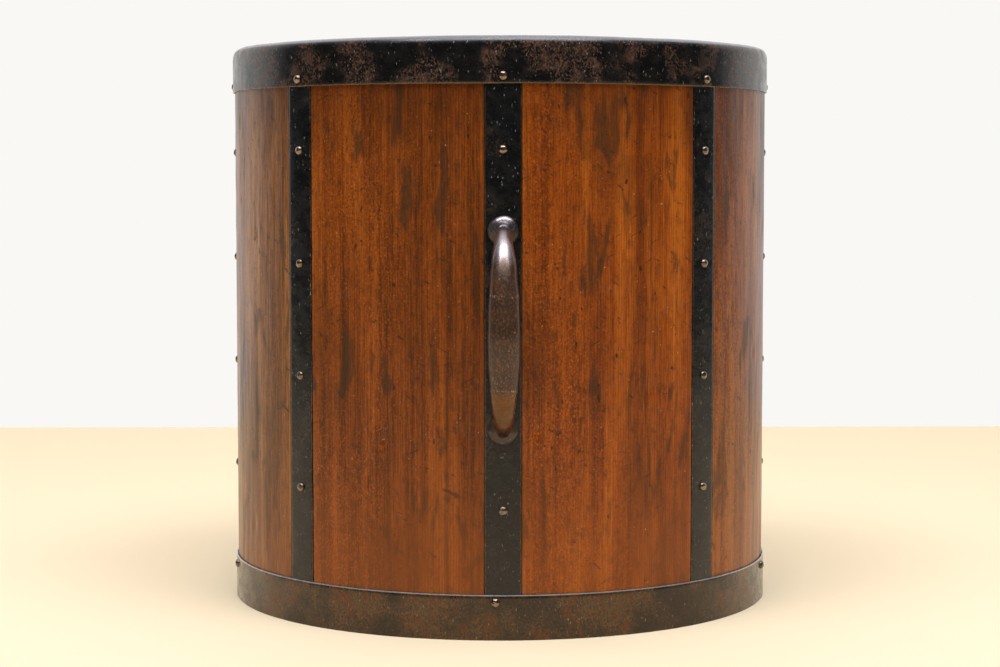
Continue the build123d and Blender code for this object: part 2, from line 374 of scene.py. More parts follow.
# %% Iron helpers
IRON_PATTERNS = {
    "clouds": ((24, 24, 24), {"Detail": 3.0}),
    "patches": ((8, 8, 6), {"Detail": 6.0, "Roughness": 0.66}),
    "grit": ((0.9, 0.9, 1.3), {"Detail": 3.0}),
    "specks": ((0.9, 0.9, 2.4), {"Detail": 1.0}),
}
LINE_WAVER = 6 * MM  # the noise that a line of painted glint wanders by goes from 0 to this
LINE_WIDTH = 0.4 * MM  # to each side


def scale_left_on(tree, rise, low, high):
    """How far the scale of the forge is left on, which is fully from low to just below high."""
    above = add_node(
        tree,
        "ShaderNodeMapRange",
        {"Value": rise, "From Min": low - 3 * MM, "From Max": low + 3 * MM},
        interpolation_type="SMOOTHSTEP",
    )
    return add_node(
        tree,
        "ShaderNodeMapRange",
        {
            "Value": rise,
            "From Min": high - 8 * MM,
            "From Max": high + 4 * MM,
            "To Min": above,
            "To Max": 0.0,
        },
        interpolation_type="SMOOTHSTEP",
    )


def glint_lines(tree, rise, patches, places):
    """Thin wavering lines of painted glint round a bar, one at each of these heights."""
    uneven = add_node(
        tree, "ShaderNodeMath", {0: patches, 1: LINE_WAVER, 2: rise}, operation="MULTIPLY_ADD"
    )
    return [
        add_node(
            tree,
            "ShaderNodeMath",
            {0: uneven, 1: place + LINE_WAVER / 2, 2: LINE_WIDTH},
            operation="COMPARE",
        )
        for place in places
    ]


# %% Iron
def iron(
    name,
    skin,
    rust,
    share,
    wear_and_glint,
    metallic=0.0,
    gloss=0.2,
    coat=0.2,
    seed=0.0,
    edges=(),
    scaled=None,
    rings=(),
):
    """Iron with a skin of two tones, rust of two tones over this share of it, and specks of wear.
    Edges are bands by height of painted highlight, painted reflection and painted shade: (height
    where a band starts, height where it is full, most, colour). The scale of the forge is left on
    between two heights. Rings are the heights of thin lines of painted glint, in the specks'
    colour."""
    material, tree = new_material(name)
    clouds, patches, grit, specks = noises(tree, IRON_PATTERNS, 0, seed).values()
    colour = toned(tree, ((grit, 0.4), (clouds, 0.6)), (0.42, 0.58), skin)
    rusty = add_node(
        tree,
        "ShaderNodeMapRange",
        {"Value": clouds, "From Min": 0.62 - share / 2, "From Max": 0.70 - share / 2},
    )
    fine_rust = add_node(
        tree, "ShaderNodeMath", {0: rusty, 1: 0.6, 2: 0.0}, operation="MULTIPLY_ADD"
    )
    place = add_node(tree, "ShaderNodeTexCoord").outputs["Object"]
    rise = add_node(tree, "ShaderNodeSeparateXYZ", {0: place}).outputs["Z"]
    layers = [
        (patches, 0.48, 0.64, rusty, rust[0]),
        (grit, 0.50, 0.62, fine_rust, rust[1]),
        (grit, 0.48, 0.36, fine_rust, skin[0]),
        (specks, 0.70, 0.77, 0.8, wear_and_glint),
        *[(rise, *edge) for edge in edges],
    ]
    roughness = add_node(
        tree,
        "ShaderNodeMapRange",
        {
            "Value": patches,
            "From Min": 0.4,
            "From Max": 0.6,
            "To Min": gloss,
            "To Max": gloss + 0.15,
        },
    )
    if scaled:
        scale = scale_left_on(tree, rise, *scaled)
        layers.insert(0, (scale, 0.0, 1.0, 0.75, "33211a"))
        roughness = add_node(
            tree, "ShaderNodeMath", {0: scale, 1: 0.16, 2: roughness}, operation="MULTIPLY_ADD"
        )
        metallic = add_node(
            tree, "ShaderNodeMapRange", {"Value": scale, "To Min": metallic, "To Max": 0.35}
        )
    if rings:
        broken = add_node(
            tree,
            "ShaderNodeMapRange",
            {"Value": grit, "From Min": 0.47, "From Max": 0.6, "To Max": 0.7},
        )
        lines = glint_lines(tree, rise, patches, rings)
        layers += [(line, 0.0, 1.0, broken, wear_and_glint) for line in lines]
    relief = add_node(
        tree, "ShaderNodeMath", {0: patches, 1: 2.0, 2: grit}, operation="MULTIPLY_ADD"
    )
    bump = add_node(tree, "ShaderNodeBump", {"Height": relief, "Distance": 0.05 * MM})
    shader = add_node(
        tree,
        "ShaderNodeBsdfPrincipled",
        {
            "Base Color": layered(tree, colour, layers),
            "Metallic": metallic,
            "Roughness": roughness,
            "Normal": bump,
            "Specular IOR Level": 0.35,
            "Coat Weight": coat,
            "Coat Roughness": 0.16,
        },
    )
    add_node(tree, "ShaderNodeOutputMaterial", {"Surface": shader})
    return material


# %% Iron finishes
# Black bar, oiled: nearly black, and browner towards the foot, where the brown is a painted
# reflection of the floor.
strap_iron = iron(
    "black_strap_iron",
    ("07080a", "111214"),
    ("2e2119", "443529"),
    0.05,
    "8b8f92",
    coat=0.15,
    edges=[(hoop_height + 110 * MM, hoop_height, 0.5, "2a1d10")],
)
# The bar's sheared edges, rubbed grey.
strap_edge_iron = iron(
    "rubbed_strap_edge_iron",
    ("2a2826", "5c5855"),
    ("33241a", "4c3a2a"),
    0.2,
    "a8a8aa",
    metallic=0.6,
)
# Black sheet with brown rust in patches, with a painted golden reflection of the floor along its
# lower edge and a painted lilac highlight along its roll.
rim_iron = iron(
    "rusted_rim_iron",
    ("0b0b0c", "1a1817"),
    ("463027", "6c4e3f"),
    0.35,
    "8f8a86",
    seed=3.0,
    edges=[
        # A painted reflection of the floor along the lower edge, then a painted highlight on the
        # roll.
        (rim_edge + 0.7 * MM, rim_edge + 0.2 * MM, 0.7, "7a5c36"),
        (height - 2.4 * MM, height - 1.2 * MM, 0.5, "a19ca4"),
    ],
)
# Band iron that stands in the wet: brown all over, with a painted bluish highlight along its
# upper edge.
hoop_iron = iron(
    "rusted_hoop_iron",
    ("302418", "523d26"),
    ("5c3416", "6e4420"),
    0.3,
    "8c7a5c",
    metallic=0.5,
    coat=0.35,
    seed=8.0,
    edges=[(hoop_height - 0.7 * MM, hoop_height - 0.3 * MM, 0.9, "b4b8bd")],
)
# Soft iron, hammered and rubbed to a warm shine.
rivet_iron = iron(
    "rubbed_rivet_iron",
    ("5c4a3a", "8e7862"),
    ("523a22", "6e5030"),
    0.3,
    "b8b0a8",
    metallic=0.95,
    gloss=0.17,
    coat=1.0,
    seed=7.0,
)
print("iron finishes ready")

# %% [markdown]
# ## Turning a bmesh into a piece
# Each new piece is shaped in a bmesh, then becomes an object at the origin. It rides on the tub's
# only body, takes the finishes it is given, and hides the frame's node that it stands for. Two
# more helpers find the edges at a height and round them, as a file and years of wear do.


# %% Piece helpers
def add_piece(name, shape, finishes, replaced):
    """Makes a bmesh a piece of the tub, in place of this node of the frame."""
    bmesh.ops.recalc_face_normals(shape, faces=shape.faces)
    mesh = bpy.data.meshes.new(name)
    shape.to_mesh(mesh)
    shape.free()
    for finish in finishes:
        mesh.materials.append(finish)
    mesh.shade_smooth()
    mesh.set_sharp_from_angle(angle=radians(35))
    piece = bpy.data.objects.new(name, mesh)
    bpy.context.scene.collection.objects.link(piece)
    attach(piece, "root")
    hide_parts(replaced)
    print(f"{name}: {len(mesh.polygons)} faces")


def edges_at(shape, rise):
    """The edges that lie level at this height."""
    return [
        edge for edge in shape.edges if all(abs(vert.co.z - rise) < NEAR for vert in edge.verts)
    ]


def ease(shape, edges, offset, segments=2):
    """Rounds edges off by this much."""
    bmesh.ops.bevel(
        shape,
        geom=edges,
        offset=offset,
        offset_type="OFFSET",
        affect="EDGES",
        segments=segments,
        profile=0.5,
        material=-1,
    )


# %% [markdown]
# ## Staves
# A stave is a thick board hollowed to the tub's curve, with a croze, the groove that holds the
# base, and a shallow rebate at each side for the strap that covers the joint. It can be cut from a
# block or turned. Here its section goes round an eighth of a circle with a spin, as on a lathe, and
# then the face is cut fine enough to carry what a plane and a century leave: a slight wave, and
# dents that catch the light.

# %% Stave sizes
STAVES = 8
step = 360 / STAVES
joint_turn = degrees(6.5 * MM / stave_face)  # a joint is this far past the middle of its strap
strap_gap = 0.4 * MM
croze_depth = 3 * MM
croze_height = 9 * MM
top_ease = 5 * MM
stave_top = height - 1 * MM  # just under the fold of the rim
PLAIN_STRAP = 17.6 * MM
HANDLE_STRAP = 19.2 * MM
strap_names = "front front_right right back_right back back_left left front_left".split()
strap_widths = [HANDLE_STRAP if name in ("front", "back") else PLAIN_STRAP for name in strap_names]
FACE_COLUMNS = 72
FACE_ROWS = 150
DENTS = 16
print(f"{STAVES} staves, {step:.0f} degrees each")


# %% Stave block and rebates
REBATE_LEAN = 0.04  # degrees that the rebate's wall takes up
AT_SIDE = 0.02  # degrees; points this near to a rebate's wall are in the rebate


def stave_block(start):
    """A plain stave: its section spun through an eighth of a circle, from this angle on."""
    shape = bmesh.new()
    section = (
        (stave_face, 0),
        (stave_face, stave_top - top_ease),
        (stave_face - top_ease, stave_top),
        (stave_back, stave_top),
        (stave_back, base_top),
        (stave_back + croze_depth, base_top),
        (stave_back + croze_depth, base_top - croze_height),
        (stave_back, base_top - croze_height),
        (stave_back, 0),
    )
    turn = radians(start)
    corners = [shape.verts.new((r * sin(turn), -r * cos(turn), z)) for r, z in section]
    face = shape.faces.new(corners)
    bmesh.ops.spin(
        shape,
        geom=[*corners, *face.edges, face],
        cent=(0, 0, 0),
        axis=(0, 0, 1),
        angle=radians(step),
        steps=FACE_COLUMNS,
    )
    return shape


def cut_rebates(shape, number):
    """Cuts a stave where its two straps end, twice so that the wall there is upright, and gives
    the two angles in degrees."""
    sides = []
    for strap, away in ((number, 1), (number + 1, -1)):
        half = degrees((strap_widths[strap % STAVES] / 2 + strap_gap) / stave_face)
        sides.append(strap * step + away * half)
        for nudge in (0, away * REBATE_LEAN):
            edge = radians(sides[-1] + nudge)
            bmesh.ops.bisect_plane(
                shape,
                geom=[*shape.verts, *shape.edges, *shape.faces],
                plane_co=(0, 0, 0),
                plane_no=(cos(edge), sin(edge), 0),
            )
    return sides


# %% Wear of a stave's face
def polar(vert):
    """A vertex's radius from the tub's axis, and its angle in degrees from the front."""
    return hypot(vert.co.x, vert.co.y), degrees(atan2(vert.co.x, -vert.co.y)) % 360


def set_radius(vert, distance):
    """Moves a vertex straight in or out to this distance from the tub's axis."""
    now = hypot(vert.co.x, vert.co.y)
    vert.co.x *= distance / now
    vert.co.y *= distance / now


def random_dents(number, sides):
    """Dents of (angle, height, radius, depth), between a stave's straps, its hoop and its rim."""
    draw = random.Random(number)
    return [
        (
            draw.uniform(sides[0], sides[1]),
            draw.uniform(hoop_height, rim_edge),
            draw.uniform(1.5, 5.0) * MM,
            draw.uniform(0.15, 0.6) * MM,
        )
        for _ in range(DENTS)
    ]


def sunk(angle, rise, number, dents):
    """How far a stave's face lies below its true radius here, from the plane and from dents."""
    wave = noise.noise(Vector((angle * 0.35, number * 9.0, rise / (70 * MM))))
    ripple = noise.noise(Vector((angle * 1.4, number * 5.0, rise / (25 * MM))))
    total = 0.25 * MM * abs(wave) + 0.06 * MM * (1 + ripple)
    for dent_angle, dent_height, size, depth in dents:
        across = radians(angle - dent_angle) * stave_face
        away = hypot(across, (rise - dent_height) / 1.6) / size
        if away < 1:
            total += depth * (1 - away * away) ** 2
    return total


# %% Stave shape
def stave_shape(number):
    """One stave, counted from the front strap to the right. Its back takes the second finish."""
    start = number * step + joint_turn
    shape = stave_block(start)
    sides = cut_rebates(shape, number)
    uprights = [
        edge
        for edge in shape.edges
        if all(abs(polar(vert)[0] - stave_face) < NEAR for vert in edge.verts)
        and abs(edge.verts[0].co.z - edge.verts[1].co.z) > height / 3
    ]
    bmesh.ops.subdivide_edges(shape, edges=uprights, cuts=FACE_ROWS, use_grid_fill=True)
    dents = random_dents(number, sides)
    for vert in shape.verts:
        distance, angle = polar(vert)
        if angle > start + step + 1:
            angle -= 360
        if distance < stave_face - NEAR:
            continue
        if sides[0] + AT_SIDE <= angle <= sides[1] - AT_SIDE:
            set_radius(vert, stave_face - sunk(angle, vert.co.z, number, dents))
        else:
            set_radius(vert, strap_face - strap_gauge)
    for face in shape.faces:
        if face.calc_center_median().xy.length < stave_back + croze_depth + 0.5 * MM:
            face.material_index = 1
    return shape


# %% Make the staves
# Four tones for each kind of board, from the darkest band of its grain to the lightest.
LIGHT_BANDS = ("70330c", "90440f", "a05012", "b9641d")
DARK_BANDS = ("50280b", "74380e", "884411", "a0551a")
DULL_BANDS = ("5c3a20", "805128", "946234", "a97a4a")
WARM_BANDS = ("5a2e10", "7f4214", "925018", "a66322")
stave_bands = (
    LIGHT_BANDS,
    WARM_BANDS,
    DARK_BANDS,
    LIGHT_BANDS,
    DARK_BANDS,
    LIGHT_BANDS,
    DULL_BANDS,
    DARK_BANDS,
)
INSIDE_BANDS = ("5a3a20", "775030", "87603b", "9b7349")
inside_wood = waxed_wood("bare_inside_wood", 0, 31, INSIDE_BANDS, 0.3)
half_face = stave_face * sin(radians(step / 2) - PLAIN_STRAP / 2 / stave_face)
for number, bands in enumerate(stave_bands):
    middle = (number + 0.5) * step
    stave_wood = waxed_wood(
        f"waxed_stave_wood_{number + 1}", middle, 3.7 * number, bands, 0.75, half_face
    )
    add_piece(
        f"waxed_stave_{number + 1}",
        stave_shape(number),
        [stave_wood, inside_wood],
        f"stave_{number + 1}",
    )

# %% [markdown]
# ## Straps
# A strap is a flat bar, cut with shears, so its edges wander a little, then bent to the wall. It is
# made the same way here: a flat grid gets its thickness and rounded edges on the bench, then every
# point is moved round to the wall. The rounded edges are where boots and brushes rub, so they take
# a finish of their own.


# %% Strap shape
STRAP_ROUND = 0.45 * MM
STRAP_COLUMNS = 10
STRAP_ROWS = 150


def strap_shape(angle, width, seed):
    """A strap bent to the wall at this angle. Its rounded edges take the second finish."""
    shape = bmesh.new()
    bmesh.ops.create_grid(shape, x_segments=STRAP_COLUMNS, y_segments=STRAP_ROWS, size=0.5)
    length = front_strap_high.z - front_strap_low.z
    bmesh.ops.scale(shape, vec=(width, length, 1), verts=shape.verts)
    grown = bmesh.ops.extrude_face_region(shape, geom=[*shape.verts, *shape.edges, *shape.faces])
    back = [item for item in grown["geom"] if isinstance(item, bmesh.types.BMVert)]
    bmesh.ops.translate(shape, vec=(0, 0, -strap_gauge), verts=back)
    long_edges = [
        edge
        for edge in shape.edges
        if all(abs(abs(vert.co.x) - width / 2) < NEAR and vert.co.z > -NEAR for vert in edge.verts)
    ]
    ease(shape, long_edges, STRAP_ROUND)
    for face in shape.faces:
        middle = face.calc_center_median()
        if abs(middle.x) > width / 2 - STRAP_ROUND and middle.z > -STRAP_ROUND:
            face.material_index = 1
    for vert in shape.verts:
        across, along, depth = vert.co
        along += (front_strap_low.z + front_strap_high.z) / 2
        shear = noise.noise(Vector((seed + (across > 0) * 20.0, 0, along / (16 * MM))))
        burr = noise.noise(Vector((seed, along / (3 * MM), 0)))
        across *= 1 - 0.02 * abs(shear) - 0.01 * abs(burr)
        dish = noise.noise(Vector((seed, across / (8 * MM), along / (14 * MM))))
        distance = strap_face + depth + (0.10 * MM * dish if depth > -strap_gauge / 2 else 0)
        turn = radians(angle) + across / strap_face
        vert.co = (distance * sin(turn), -distance * cos(turn), along)
    return shape


# %% Make the straps
for number, name in enumerate(strap_names):
    shape = strap_shape(number * step, strap_widths[number], 11.0 * number)
    finishes = [strap_iron, strap_edge_iron]
    add_piece(f"bent_strap_{name}", shape, finishes, f"strap_{name}")

# %% [markdown]
# ## Rim and foot hoop
# The rim is one sheet folded over the ends of the staves, with a half-round roll along its top. The
# hoop is a flat band whose ends meet at the back. A curve with a bevel would give a smooth tube of
# one section, but both have a section of their own, so they are turned on a lathe. Then they are
# pushed about by less than the gauge of the sheet, as years of knocks do.


# %% Lathe and hammer helpers
noise.seed_set(1)  # noise_vector goes by the clock until it has a seed


def turn_round(shape, outline, steps, angle=2 * pi, start=0.0, closed=True):
    """Spins an outline of (radius, height) points about Z, and gives the points made."""
    before = set(shape.verts)
    corners = [shape.verts.new((r * sin(start), -r * cos(start), z)) for r, z in outline]
    following = corners[1:] + corners[:1] if closed else corners[1:]
    edges = [shape.edges.new(pair) for pair in zip(corners, following)]
    bmesh.ops.spin(
        shape,
        geom=[*corners, *edges],
        cent=(0, 0, 0),
        axis=(0, 0, 1),
        angle=angle,
        steps=steps,
        use_merge=angle == 2 * pi,
    )
    return [vert for vert in shape.verts if vert not in before]


def hammer(verts, size, depth, seed):
    """Moves vertices by blobs of noise of this size, as knocks and hammering do."""
    for vert in verts:
        vert.co += depth * noise.noise_vector(vert.co / size + Vector((seed, seed, seed)))


# %% Rim
HOOP_STEPS = 320  # columns round the rim and the hoop
SHEET_EASE = 0.25 * MM
SQUARENESS = 2.8  # 2 is a true half-round
skirt_rows = 8
arc_steps = 20
rim_back = stave_back - hoop_gauge
roll = (outside - rim_back) / 2
roll_middle = (outside + rim_back) / 2
roll_height = height - roll


def roll_curve(reach):
    """The section of the roll from its outer side to its inner, a little squarer than round."""
    points = []
    for k in range(arc_steps + 1):
        across, up = cos(pi * k / arc_steps), sin(pi * k / arc_steps)
        across = copysign(abs(across) ** (2 / SQUARENESS), across)
        up = abs(up) ** (2 / SQUARENESS)
        points.append((roll_middle + reach * across, roll_height + reach * up))
    return points


skirt_height = roll_height - rim_edge
outline = [(outside, rim_edge + skirt_height * row / skirt_rows) for row in range(skirt_rows)]
outline += roll_curve(roll)
outline += [(rim_back, rim_edge), (rim_back + hoop_gauge, rim_edge)]
outline += reversed(roll_curve(roll - hoop_gauge))
outline += [(outside - hoop_gauge, rim_edge)]
shape = bmesh.new()
turn_round(shape, outline, HOOP_STEPS)
lips = [edge for edge in edges_at(shape, rim_edge) if edge.calc_length() > hoop_gauge + 0.3 * MM]
ease(shape, lips, SHEET_EASE)
hammer(shape.verts, size=9 * MM, depth=0.09 * MM, seed=1.0)
hammer(shape.verts, size=40 * MM, depth=0.25 * MM, seed=2.0)
add_piece("folded_rim", shape, [rim_iron], "top_rim")

# %% Foot hoop
hoop_rows = 8
seam = 0.4 * MM / outside  # radians
outline = [(outside, hoop_height * row / hoop_rows) for row in range(hoop_rows + 1)]
outline += [(outside - hoop_gauge, hoop_height), (outside - hoop_gauge, 0)]
shape = bmesh.new()
turn_round(shape, outline, HOOP_STEPS, angle=2 * pi - seam, start=pi + seam / 2)
bmesh.ops.holes_fill(shape, edges=[edge for edge in shape.edges if edge.is_boundary])
lips = [edge for edge in edges_at(shape, hoop_height) if edge.calc_length() > hoop_gauge + 0.3 * MM]
ease(shape, lips, SHEET_EASE)
hammer(shape.verts, size=10 * MM, depth=0.10 * MM, seed=4.0)
for vert in shape.verts:
    vert.co.z = max(vert.co.z, 0)
add_piece("foot_hoop", shape, [hoop_iron], "bottom_hoop")

# %% [markdown]
# ## Rivets and nails
# The rivets were closed by hand, so each head is a dome with a few flat places from the hammer. A
# sphere cut in half would be too regular: a dome is turned from its outline, on a shank, and then
# hammered. Its place is read from the frame: the top of a head is the point furthest from the axis.


# %% Rivet helpers
def on_wall(angle, rise, distance):
    """Stands something on the wall: its Z points outwards and its Y up."""
    turn = radians(angle)
    place = Matrix.Translation((distance * sin(turn), -distance * cos(turn), rise))
    return place @ Matrix.Rotation(turn, 4, "Z") @ Matrix.Rotation(pi / 2, 4, "X")


def head_places(name):
    """The angle and height of each head in a node of rivets or nails."""
    points = [vert.co for vert in nodes[name].data.vertices]
    reach = max(hypot(point.x, point.y) for point in points)
    return sorted(
        {
            (round(degrees(atan2(point.x, -point.y)), 1), round(point.z, 4))
            for point in points
            if hypot(point.x, point.y) > reach - NEAR / 2
        }
    )


def dome(shape, size, rise, placement, seed, steps=20, rings=6, knocks=0.2 * MM, foot=0.0):
    """A hammered dome of this radius and rise, on a shank that goes down by foot."""
    brim = 0.1 * MM
    outline = [(0.0, -foot), (size * 0.5, -foot), (size * 0.5, 0.0), (size, 0.0)]
    turns = [pi / 2 * k / rings for k in range(rings)]
    outline += [(size * cos(turn), rise * sin(turn) + brim) for turn in turns]
    outline += [(0.0, rise + brim)]
    made = turn_round(shape, outline, steps, start=pi / 2, closed=False)
    bmesh.ops.remove_doubles(shape, verts=made, dist=NEAR / 10)
    made = [vert for vert in made if vert.is_valid]
    hammer([vert for vert in made if vert.co.z > 2 * brim], 0.55 * size, knocks, seed)
    bmesh.ops.transform(shape, matrix=placement, verts=made)


# %% Rivets and nails
head_radius = 2.4 * MM
head_rise = 1.7 * MM
tail_radius = 2.0 * MM
tail_rise = 0.8 * MM
for piece_name, node, distance, length in (
    ("hammered_strap_rivets", "strap_rivets", strap_face, 13.0 * MM),
    ("hammered_rim_rivets", "rim_rivets", outside, 13.9 * MM),
    ("hammered_hoop_nails", "hoop_nails", outside, 7.4 * MM),
):
    shape = bmesh.new()
    for number, (angle, rise) in enumerate(head_places(node)):
        place = on_wall(angle, rise, distance)
        dome(shape, head_radius, head_rise, place, 3.1 * number, foot=length)
        if node != "hoop_nails":  # a nail isn't closed on the inside
            tail = on_wall(angle + 180, rise, -(distance - length))
            dome(shape, tail_radius, tail_rise, tail, 5.3 * number, steps=14, rings=4)
    add_piece(piece_name, shape, [rivet_iron], node)

# %% [markdown]
# ## Handles
# Each grip was forged from a bar: a barrel-shaped middle, drawn down to a thin leg at each end, and
# bent to a bow. Two faint ridges show where the smith stopped drawing down. A curve with a taper
# could give the bow, but not the ridges or the flattened section, so it is a row of rings along the
# curve, each joined to the next, and hammered lightly. Its top is painted lighter as a highlight,
# and its foot golden-brown as a painted reflection of the floor. From the lower ridge up to just
# under the light top, the scale of the forge is left on, and each ridge carries a thin broken line
# of painted glint.

# %% Handle sizes
grip_low, grip_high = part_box("front_handle")
rose_low, rose_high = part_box("front_handle_roses")
rose_radius = rose_high.x
rose_rise = -rose_low.y - strap_face
low_end, high_end = rose_low.z + rose_radius, rose_high.z - rose_radius
grip_half = grip_high.x
grip_flatness = 0.82  # depth against width
leg = 3.5 * MM
root = strap_face + rose_rise
pull = root + (-grip_low.y - grip_flatness * grip_half - root) * 4 / 3
ridges = [low_end + share * (high_end - low_end) for share in (0.225, 0.69)]
RIDGE_WIDTH = 1.2 * MM  # to each side
RIDGE_RISE = 0.14 * MM
print(f"bow from {low_end / MM:.1f} to {high_end / MM:.1f} mm, roses {rose_rise / MM:.1f} mm high")

# %% Handle finishes
# Forged bar: mottled brown scale, with a painted highlight at the top of the bow and a painted
# golden-brown reflection of the floor at its foot.
grip_iron = iron(
    "rubbed_grip_iron",
    ("412e20", "69513c"),
    ("4e2f20", "6e4a34"),
    0.5,
    "9c8468",
    metallic=0.9,
    gloss=0.2,
    coat=0.35,
    seed=5.0,
    edges=[
        (ridges[0] + 2 * MM, ridges[0] - 6 * MM, 0.5, "704818"),
        (high_end - 18 * MM, high_end - 10 * MM, 0.65, "a0969a"),
    ],
    scaled=(ridges[0], high_end - 15 * MM),
    rings=ridges,
)
# Domed washers, polished by the hand on the upper one, with painted shade from the middle of the
# upper one down, and dull with scale below.
rose_iron = iron(
    "rubbed_rose_iron",
    ("4c4446", "8c8286"),
    ("3c2a1e", "553e2a"),
    0.2,
    "a8a0a0",
    metallic=0.9,
    gloss=0.16,
    coat=0.3,
    seed=6.0,
    edges=[(high_end + 2 * MM, high_end - 3 * MM, 0.6, "3a2614")],
    scaled=(low_end - 2 * rose_radius, high_end + 2 * MM),
)


# %% Grip
STATIONS = 72  # rings along the bow


def bow_place(share):
    """A point of the bow's middle line in the side plane, from its lower end to its upper."""
    a, b = 1 - share, share
    out = (a**3 + b**3) * root + 3 * a * b * pull
    up = (a**3 + 3 * a * a * b) * low_end + (b**3 + 3 * a * b * b) * high_end
    return out, up


def bow_ring(share, facing):
    """The matrix that makes a unit circle the bow's section here."""
    out, up = bow_place(share)
    ahead, behind = bow_place(share + 0.001), bow_place(share - 0.001)
    lean = atan2(ahead[0] - behind[0], ahead[1] - behind[1])
    swell = max(0, 1 - (2 * (up - low_end) / (high_end - low_end) - 1) ** 2) ** 0.75
    half_width = leg + (grip_half - leg) * swell
    half_depth = leg + (grip_flatness * grip_half - leg) * swell
    ridge = sum(max(0, 1 - abs(up - place) / RIDGE_WIDTH) for place in ridges) * RIDGE_RISE
    return (
        Matrix.Rotation(radians(facing), 4, "Z")
        @ Matrix.Translation((0, -out, up))
        @ Matrix.Rotation(lean, 4, "X")
        @ Matrix.Diagonal((half_width + ridge, half_depth + ridge, 1, 1))
    )


def handle_shape(facing):
    """A bow handle with its two studs, facing 0 for the front or 180 for the back."""
    shape = bmesh.new()
    rings = []
    for number in range(STATIONS + 1):
        place = bow_ring(number / STATIONS, facing)
        ring = bmesh.ops.create_circle(shape, segments=36, radius=1, matrix=place)["verts"]
        rings.append(list({edge for vert in ring for edge in vert.link_edges}))
    for first, second in zip(rings, rings[1:]):
        bmesh.ops.bridge_loops(shape, edges=[*first, *second])
    bmesh.ops.holes_fill(shape, edges=[edge for edge in shape.edges if edge.is_boundary])
    clear_of_roses = root + 1.5 * MM
    body = [vert for vert in shape.verts if hypot(vert.co.x, vert.co.y) > clear_of_roses]
    hammer(body, size=11 * MM, depth=0.35 * MM, seed=facing)
    hammer(body, size=2.6 * MM, depth=0.09 * MM, seed=facing + 3)
    tail_place = stave_back - 1.2 * MM  # radius where a stud is closed, on its rove
    for rise in (low_end, high_end):
        place = on_wall(facing, rise, root - 0.3 * MM)
        dome(shape, 3.4 * MM, 0.2 * MM, place, 0, foot=root - tail_place)
        tail = on_wall(facing + 180, rise, -tail_place)
        dome(shape, 4.5 * MM, 1.6 * MM, tail, rise / MM, knocks=0.3 * MM)
    return shape


# %% Roses
rose_brim = 0.8 * MM  # thickness at the edge


def roses_shape(facing):
    """The two domed washers that a handle's ends go into."""
    shape = bmesh.new()
    turns = [pi / 2 * k / 10 for k in range(7)]
    swell = rose_rise - rose_brim
    outline = [(leg, 0), (rose_radius - 0.2 * MM, 0)]
    outline += [(rose_radius * cos(turn), rose_brim + swell * sin(turn)) for turn in turns]
    outline += [(leg + 0.3 * MM, rose_rise - 0.15 * MM), (leg - 0.1 * MM, rose_rise - 0.1 * MM)]
    for number, rise in enumerate((low_end, high_end)):
        made = turn_round(shape, outline, 40, start=pi / 2)
        dome_points = [vert for vert in made if vert.co.z > 0.5 * MM]
        hammer(dome_points, size=5 * MM, depth=0.35 * MM, seed=facing + number)
        bmesh.ops.transform(shape, matrix=on_wall(facing, rise, strap_face), verts=made)
    return shape


# %% Make the handles
for side, facing in (("front", 0), ("back", 180)):
    handle = f"{side}_handle"
    add_piece(f"forged_{handle}", handle_shape(facing), [grip_iron], handle)
    roses = f"{handle}_roses"
    add_piece(f"forged_{side}_roses", roses_shape(facing), [rose_iron], roses)

# %% [markdown]
# ## Inside of the tub
# The base is four boards, and only their eased edges show where one ends and the next starts. Each
# is sawn from a disc as wide as the croze reaches: a circle is cut along the joints and thickened,
# and its long edges are bevelled. The wood inside was never stained, so it is paler and greyer.

# %% Base boards
BOARDS = 4
board_thickness = 15 * MM
base_radius = stave_back + croze_depth
board_width = 2 * base_radius / BOARDS
BASE_BANDS = ("4e3722", "6b4e34", "7c5d40", "8e6f4f")
for number in range(BOARDS):
    shape = bmesh.new()
    bmesh.ops.create_circle(shape, cap_ends=True, segments=160, radius=base_radius)
    bmesh.ops.translate(shape, vec=(0, 0, base_top), verts=shape.verts)
    left = -base_radius + number * board_width
    for place, outward in ((left, -1), (left + board_width, 1)):
        bmesh.ops.bisect_plane(
            shape,
            geom=[*shape.verts, *shape.edges, *shape.faces],
            plane_co=(place, 0, 0),
            plane_no=(outward, 0, 0),
            clear_outer=True,
        )
    grown = bmesh.ops.extrude_face_region(shape, geom=list(shape.faces))
    bottom = [item for item in grown["geom"] if isinstance(item, bmesh.types.BMVert)]
    bmesh.ops.translate(shape, vec=(0, 0, -board_thickness), verts=bottom)
    joints = [
        edge
        for edge in edges_at(shape, base_top)
        if abs(edge.verts[0].co.x - edge.verts[1].co.x) < NEAR
    ]
    ease(shape, joints, 0.8 * MM, segments=3)
    base_wood = waxed_wood(
        f"base_wood_{number + 1}", 0, 40 + 3 * number, BASE_BANDS, 0.2, tilt=90
    )
    board = f"base_board_{number + 1}"
    add_piece(f"sawn_{board}", shape, [base_wood], board)

# %% [markdown]
# ## Pegs and roves
# The pegs between boards and the roves, the small washers under the closed ends, have the right
# shape in the frame already. They would gain nothing from a new mesh, so they only get a finish.

# %% Finishes for the frame's own pieces
peg_wood = waxed_wood("peg_wood", 0, 60, ("5c4026", "7a5836", "8c6843", "a07c54"), 0.1)
for name in ("base_pegs", "stave_pegs"):
    nodes[name].material_slots[0].material = peg_wood
for name in ("rivet_roves", "front_handle_roves", "back_handle_roves"):
    nodes[name].material_slots[0].material = rivet_iron

# %% [markdown]
# ## Floor and wall
# The floor is pale and warm, and the wall behind is white. Both are single faces. The wall could be
# lit until it is white, but that light would also fall on the tub. So its material glows at a
# strength of 1, and only where the camera or a reflection sees it.

# %% Floor and wall
wall_distance = 5.46 * outside


